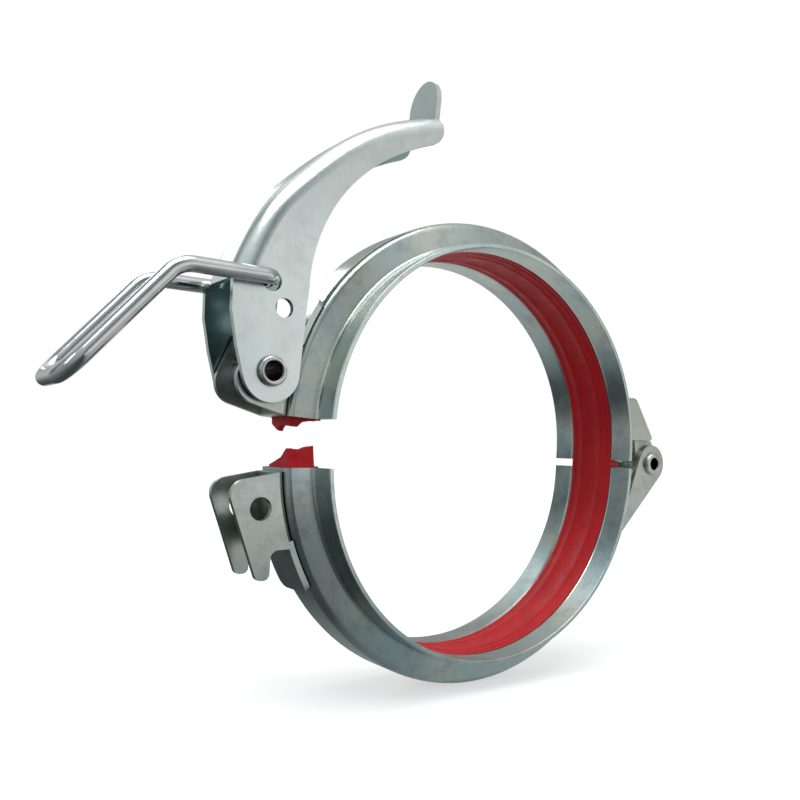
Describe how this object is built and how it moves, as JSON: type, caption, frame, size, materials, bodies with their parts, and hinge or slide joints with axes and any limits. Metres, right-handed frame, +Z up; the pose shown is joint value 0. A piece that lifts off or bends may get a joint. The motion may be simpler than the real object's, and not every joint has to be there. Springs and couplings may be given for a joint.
{
  "type": "lever-lock pipe coupling",
  "caption": "Hinged two-half coupling with a rubber ring, closed by an over-centre lever and wire bail, joining two shouldered pipe ends.",
  "frame": {"origin": "centre of the pipe bore of the lower half, in the middle of its width", "axes": "+Y along the pipe, +X towards the hinge, -X towards the latch, +Z up"},
  "size_m": [0.3192, 0.0514, 0.2732],
  "materials": {
    "zinc_shell": "bright zinc plate, smooth satin",
    "zinc_bracket": "bright zinc plate, satin",
    "zinc_lever": "bright zinc plate, smooth",
    "bright_wire": "polished plate",
    "rivet_steel": "bright zinc plate, rolled",
    "red_rubber": "smooth moulded rubber, satin"
  },
  "bodies": {
    "lower": {"lower_shell": "zinc_shell", "catch_bracket": "zinc_bracket", "hinge_bracket_lower": "zinc_bracket", "gasket_lower": "red_rubber", "hinge_rivet": "rivet_steel", "hinge_spacer": "rivet_steel"},
    "upper": {"upper_shell": "zinc_shell", "lever_bracket": "zinc_bracket", "hinge_bracket_upper": "zinc_bracket", "gasket_upper": "red_rubber", "lever_pivot_rivet": "rivet_steel", "lever_pivot_spacer": "rivet_steel", "lever_pivot_washers": "rivet_steel"},
    "lever": {"lever": "zinc_lever"},
    "bail": {"bail": "bright_wire"}
  },
  "joints": [
    {"name": "hinge", "type": "hinge", "parent": "lower", "child": "upper", "pos_m": [0.1215, 0, 0.0008], "axis": [0, 1, 0], "range_deg": [-5.1, 75]},
    {"name": "lever_pivot", "type": "hinge", "parent": "upper", "child": "lever", "pos_m": [-0.10818, 0, 0.03596], "axis": [0, -1, 0], "range_deg": [-18, 60]},
    {"name": "bail_pivot", "type": "hinge", "parent": "lever", "child": "bail", "pos_m": [-0.10878, 0, 0.07146], "axis": [0, -1, 0], "range_deg": [-140, 22]}
  ]
}
